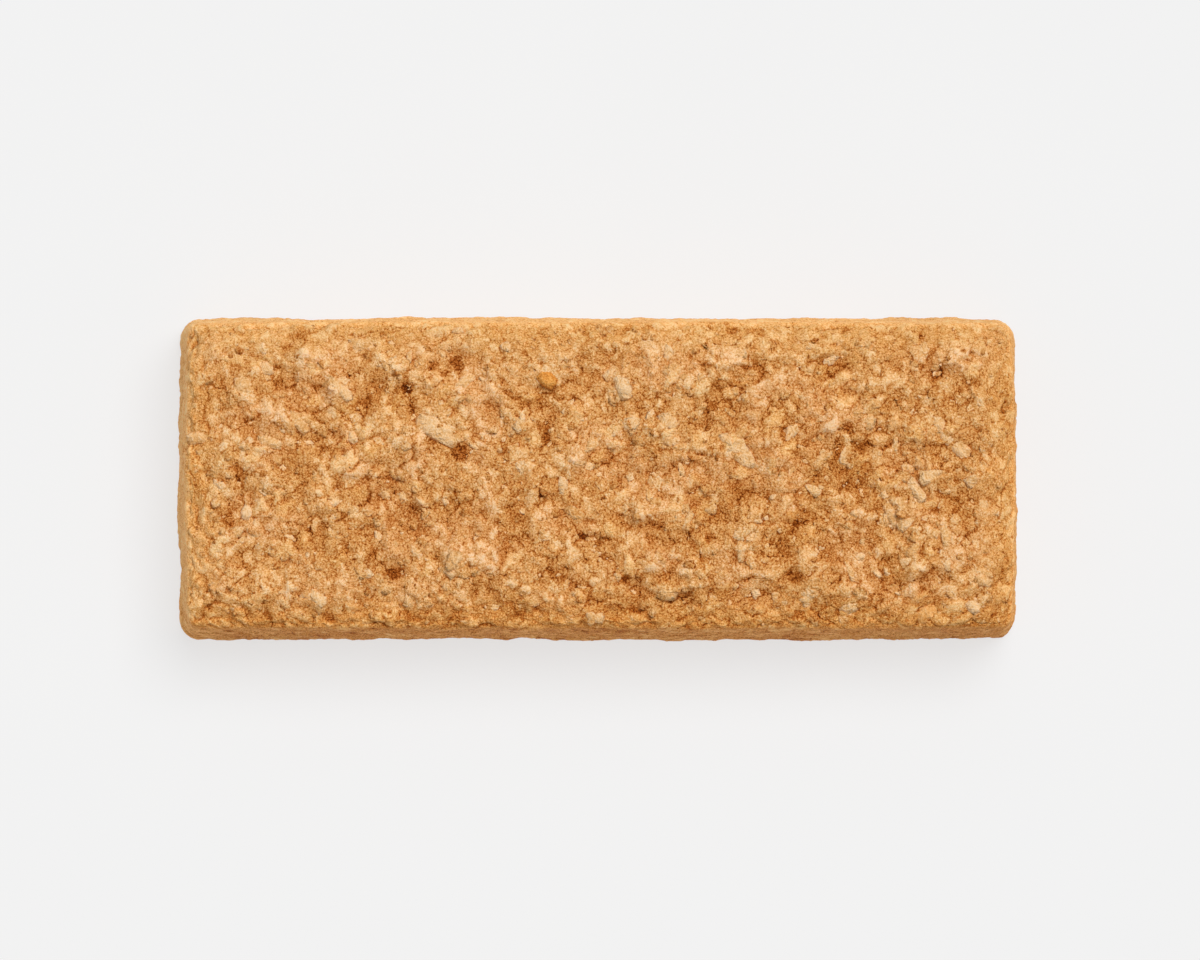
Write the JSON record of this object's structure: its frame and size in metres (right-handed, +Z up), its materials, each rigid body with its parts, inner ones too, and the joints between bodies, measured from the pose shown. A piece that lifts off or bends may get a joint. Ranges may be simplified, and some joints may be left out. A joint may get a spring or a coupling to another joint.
{
  "type": "granola bar",
  "caption": "Baked oat granola bar lying flat: a rectangular block of toasted crumb with pale oat flakes and nut chips in its rough top.",
  "frame": {"origin": "middle of the flat underside that the bar rests on", "axes": "+X along the bar's length, +Y across its width towards the picture's upper edge, +Z up out of the rough top"},
  "size_m": [0.1, 0.0386, 0.016],
  "materials": {
    "baked_crumb": "matte toasted oat crumb, golden brown on top and paler on the pressed sides"
  },
  "bodies": {
    "root": {"granola_bar": "baked_crumb"}
  },
  "joints": []
}
